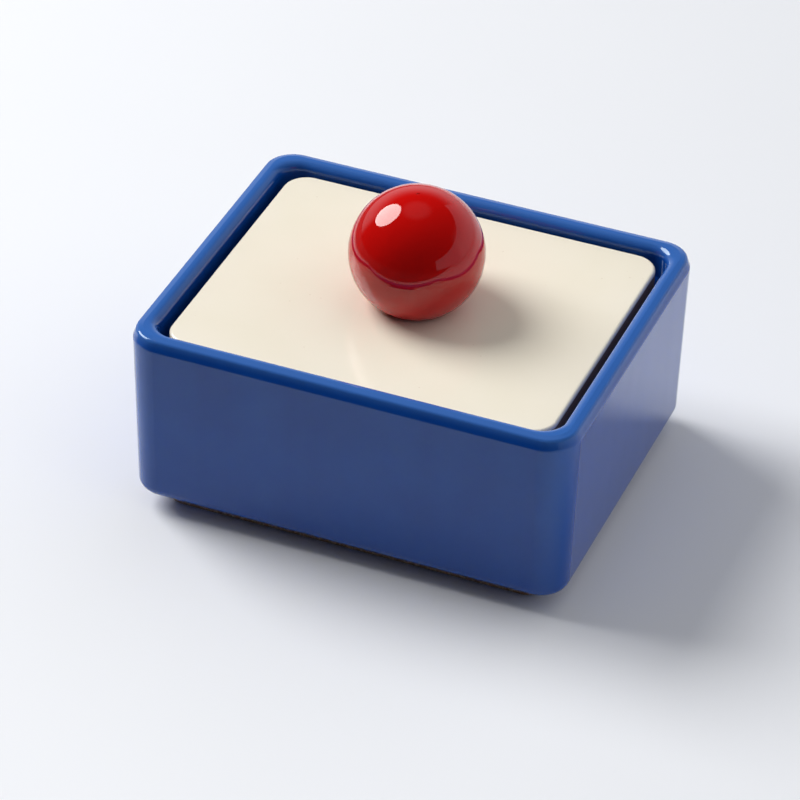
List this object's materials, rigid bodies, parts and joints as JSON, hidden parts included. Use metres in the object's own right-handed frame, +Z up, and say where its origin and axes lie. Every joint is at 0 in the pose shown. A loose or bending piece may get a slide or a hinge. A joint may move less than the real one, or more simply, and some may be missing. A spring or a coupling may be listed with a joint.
{
  "type": "toothpick box",
  "caption": "Rounded rectangular glazed ceramic box on a low unglazed foot, with a flat drop-in lid that lifts off by a screwed-on ball knob, for holding toothpicks.",
  "frame": {"origin": "bottom centre of the box, on the surface that its foot stands on", "axes": "+X along the long side, -Y out of the pictured front, +Z up"},
  "size_m": [0.0998, 0.0814, 0.0693],
  "materials": {
    "cobalt_glaze": "glossy cobalt glaze, thin and paler on the rim, on an unglazed brown foot",
    "cream_glaze": "glossy cream glaze",
    "red_plastic": "polished red with a faint parting line",
    "brass": "turned",
    "steel": "zinc plated",
    "soft_rubber": "translucent silicone"
  },
  "bodies": {
    "box": {"box_body": "cobalt_glaze"},
    "lid_with_knob": {"lid": "cream_glaze", "knob": "red_plastic", "knob_insert": "brass", "knob_screw": "steel", "flat_washer": "steel", "lower_soft_washer": "soft_rubber", "upper_soft_washer": "soft_rubber"}
  },
  "joints": [
    {"name": "lid_lift", "type": "slide", "parent": "box", "child": "lid_with_knob", "axis": [0, 0, 1], "range_m": [0, 0.045]}
  ]
}
